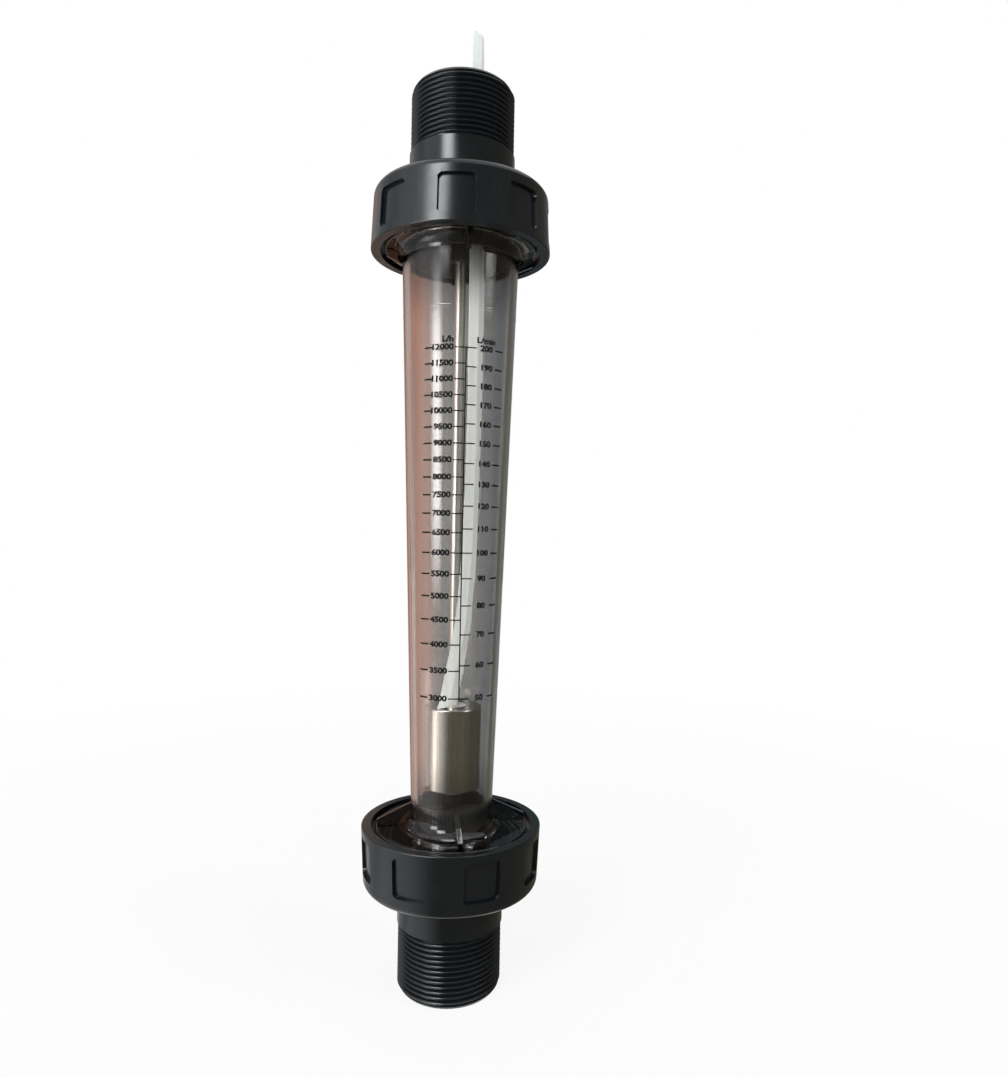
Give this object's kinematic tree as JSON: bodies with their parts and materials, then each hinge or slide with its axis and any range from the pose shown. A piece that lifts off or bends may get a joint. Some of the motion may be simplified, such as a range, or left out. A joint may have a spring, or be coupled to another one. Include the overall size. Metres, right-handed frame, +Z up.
{
  "type": "rotameter",
  "caption": "Variable-area flow meter: clear tapered tube with a printed scale, guided metal float, union nuts and male-threaded pipe ends.",
  "frame": {"origin": "centre of the lower connector's end face, on the tube's axis", "axes": "+Z up the metering tube, against gravity and with the flow; the printed scale faces -Y"},
  "size_m": [0.083, 0.083, 0.437],
  "materials": {
    "tube_clear": "clear moulded plastic, glossy, faint warm tint",
    "nut_plastic": "charcoal moulded plastic, satin gloss",
    "connector_plastic": "charcoal moulded plastic, satin gloss",
    "seal_rubber": "black seal rubber",
    "stop_plastic": "dark moulded plastic",
    "rod_steel": "drawn stainless rod, bright",
    "fastener_steel": "plain stainless fasteners",
    "bumper_rubber": "black rubber",
    "float_steel": "turned and polished stainless",
    "bush_plastic": "white slide-bearing plastic",
    "strip_plastic": "milky translucent plastic band"
  },
  "bodies": {
    "meter": {"metering_tube": "tube_clear", "lower_end_connector": "connector_plastic", "upper_end_connector": "connector_plastic", "lower_seal_ring": "seal_rubber", "upper_seal_ring": "seal_rubber", "lower_rod_stop": "stop_plastic", "upper_rod_stop": "stop_plastic", "guide_rod": "rod_steel", "lower_rod_nut": "fastener_steel", "upper_rod_nut": "fastener_steel", "lower_rod_washer": "fastener_steel", "upper_rod_washer": "fastener_steel", "lower_bumper": "bumper_rubber", "upper_bumper": "bumper_rubber"},
    "float": {"float_body": "float_steel", "lower_float_bush": "bush_plastic", "upper_float_bush": "bush_plastic", "packing_strip": "strip_plastic"},
    "lower_nut": {"lower_union_nut": "nut_plastic"},
    "upper_nut": {"upper_union_nut": "nut_plastic"}
  },
  "joints": [
    {"name": "float_lift", "type": "slide", "parent": "meter", "child": "float", "axis": [0, 0, 1], "range_m": [0, 0.2052]},
    {"name": "lower_nut_turn", "type": "hinge", "parent": "meter", "child": "lower_nut", "pos_m": [0, 0, 0.0609], "axis": [0, 0, -1], "range_deg": [0, 1440]},
    {"name": "upper_nut_turn", "type": "hinge", "parent": "meter", "child": "upper_nut", "pos_m": [0, 0, 0.3521], "axis": [0, 0, 1], "range_deg": [0, 1440]}
  ]
}
